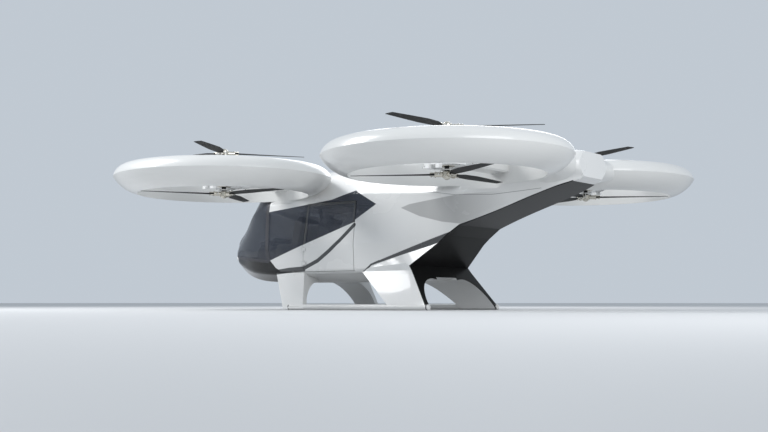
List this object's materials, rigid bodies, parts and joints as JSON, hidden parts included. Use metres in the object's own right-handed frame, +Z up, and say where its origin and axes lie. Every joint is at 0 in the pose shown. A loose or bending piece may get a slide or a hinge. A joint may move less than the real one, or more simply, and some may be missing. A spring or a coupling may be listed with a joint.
{
  "type": "ducted-rotor air taxi",
  "caption": "Electric air taxi with a glazed cabin, coaxial rotor pairs in round ducts at its corners, a raised tail and a skid gear; doors hinge and rotors turn.",
  "frame": {"origin": "on the ground under the middle of the four ducts, at the bottom centre of the bounding box", "axes": "+Z up, nose towards -Y, port side towards +X"},
  "size_m": [7.94, 8.2398, 2.69],
  "materials": {
    "white_paint": "gloss pearl paint",
    "housing_white": "gloss paint",
    "black_panel": "gloss black",
    "frame_graphite": "satin graphite",
    "tinted_glass": "dark tint",
    "blade_black": "satin carbon",
    "floor_grey": "matt",
    "battery_case": "matt",
    "seat_leather": "soft leather",
    "panel_trim": "matt"
  },
  "bodies": {
    "airframe": {"tail_boom": "white_paint", "belly_shell": "white_paint", "roof_shell": "white_paint", "side_port": "white_paint", "side_starboard": "white_paint", "rear_leg_port": "white_paint", "rear_leg_starboard": "white_paint", "front_leg_port": "white_paint", "front_leg_starboard": "white_paint", "skid_port": "white_paint", "skid_starboard": "white_paint", "duct_front_port": "white_paint", "duct_front_starboard": "white_paint", "duct_rear_port": "white_paint", "duct_rear_starboard": "white_paint", "strut_front_port": "white_paint", "strut_front_starboard": "white_paint", "strut_rear_port": "white_paint", "strut_rear_starboard": "white_paint", "motor_housing_front_port": "housing_white", "motor_housing_front_starboard": "housing_white", "motor_housing_rear_port": "housing_white", "motor_housing_rear_starboard": "housing_white", "back_panel": "black_panel", "canopy_frame": "frame_graphite", "windscreen": "tinted_glass", "nose_glass": "tinted_glass", "side_window_port": "tinted_glass", "side_window_starboard": "tinted_glass", "cabin_floor": "floor_grey", "rear_bulkhead": "floor_grey", "battery_block": "battery_case", "seats": "seat_leather", "instrument_panel": "panel_trim"},
    "door_port": {"door_port": "white_paint", "door_glass_port": "tinted_glass"},
    "door_starboard": {"door_starboard": "white_paint", "door_glass_starboard": "tinted_glass"},
    "rotor_upper_front_port": {"rotor_upper_front_port": "blade_black"},
    "rotor_lower_front_port": {"rotor_lower_front_port": "blade_black"},
    "rotor_upper_front_starboard": {"rotor_upper_front_starboard": "blade_black"},
    "rotor_lower_front_starboard": {"rotor_lower_front_starboard": "blade_black"},
    "rotor_upper_rear_port": {"rotor_upper_rear_port": "blade_black"},
    "rotor_lower_rear_port": {"rotor_lower_rear_port": "blade_black"},
    "rotor_upper_rear_starboard": {"rotor_upper_rear_starboard": "blade_black"},
    "rotor_lower_rear_starboard": {"rotor_lower_rear_starboard": "blade_black"}
  },
  "joints": [
    {"name": "door_port_hinge", "type": "hinge", "parent": "airframe", "child": "door_port", "pos_m": [0.888, -1.62, 1.25], "axis": [0, 0, -1], "range_deg": [0, 70]},
    {"name": "door_starboard_hinge", "type": "hinge", "parent": "airframe", "child": "door_starboard", "pos_m": [-0.888, -1.62, 1.25], "axis": [0, 0, 1], "range_deg": [0, 70]},
    {"name": "rotor_upper_front_port_spin", "type": "hinge", "parent": "airframe", "child": "rotor_upper_front_port", "pos_m": [2.14, -2.29, 2.65], "axis": [0, 0, 1], "continuous": true},
    {"name": "rotor_lower_front_port_spin", "type": "hinge", "parent": "airframe", "child": "rotor_lower_front_port", "pos_m": [2.14, -2.29, 1.955], "axis": [0, 0, 1], "continuous": true},
    {"name": "rotor_upper_front_starboard_spin", "type": "hinge", "parent": "airframe", "child": "rotor_upper_front_starboard", "pos_m": [-2.14, -2.29, 2.65], "axis": [0, 0, 1], "continuous": true},
    {"name": "rotor_lower_front_starboard_spin", "type": "hinge", "parent": "airframe", "child": "rotor_lower_front_starboard", "pos_m": [-2.14, -2.29, 1.955], "axis": [0, 0, 1], "continuous": true},
    {"name": "rotor_upper_rear_port_spin", "type": "hinge", "parent": "airframe", "child": "rotor_upper_rear_port", "pos_m": [2.14, 2.29, 2.65], "axis": [0, 0, 1], "continuous": true},
    {"name": "rotor_lower_rear_port_spin", "type": "hinge", "parent": "airframe", "child": "rotor_lower_rear_port", "pos_m": [2.14, 2.29, 1.955], "axis": [0, 0, 1], "continuous": true},
    {"name": "rotor_upper_rear_starboard_spin", "type": "hinge", "parent": "airframe", "child": "rotor_upper_rear_starboard", "pos_m": [-2.14, 2.29, 2.65], "axis": [0, 0, 1], "continuous": true},
    {"name": "rotor_lower_rear_starboard_spin", "type": "hinge", "parent": "airframe", "child": "rotor_lower_rear_starboard", "pos_m": [-2.14, 2.29, 1.955], "axis": [0, 0, 1], "continuous": true}
  ]
}
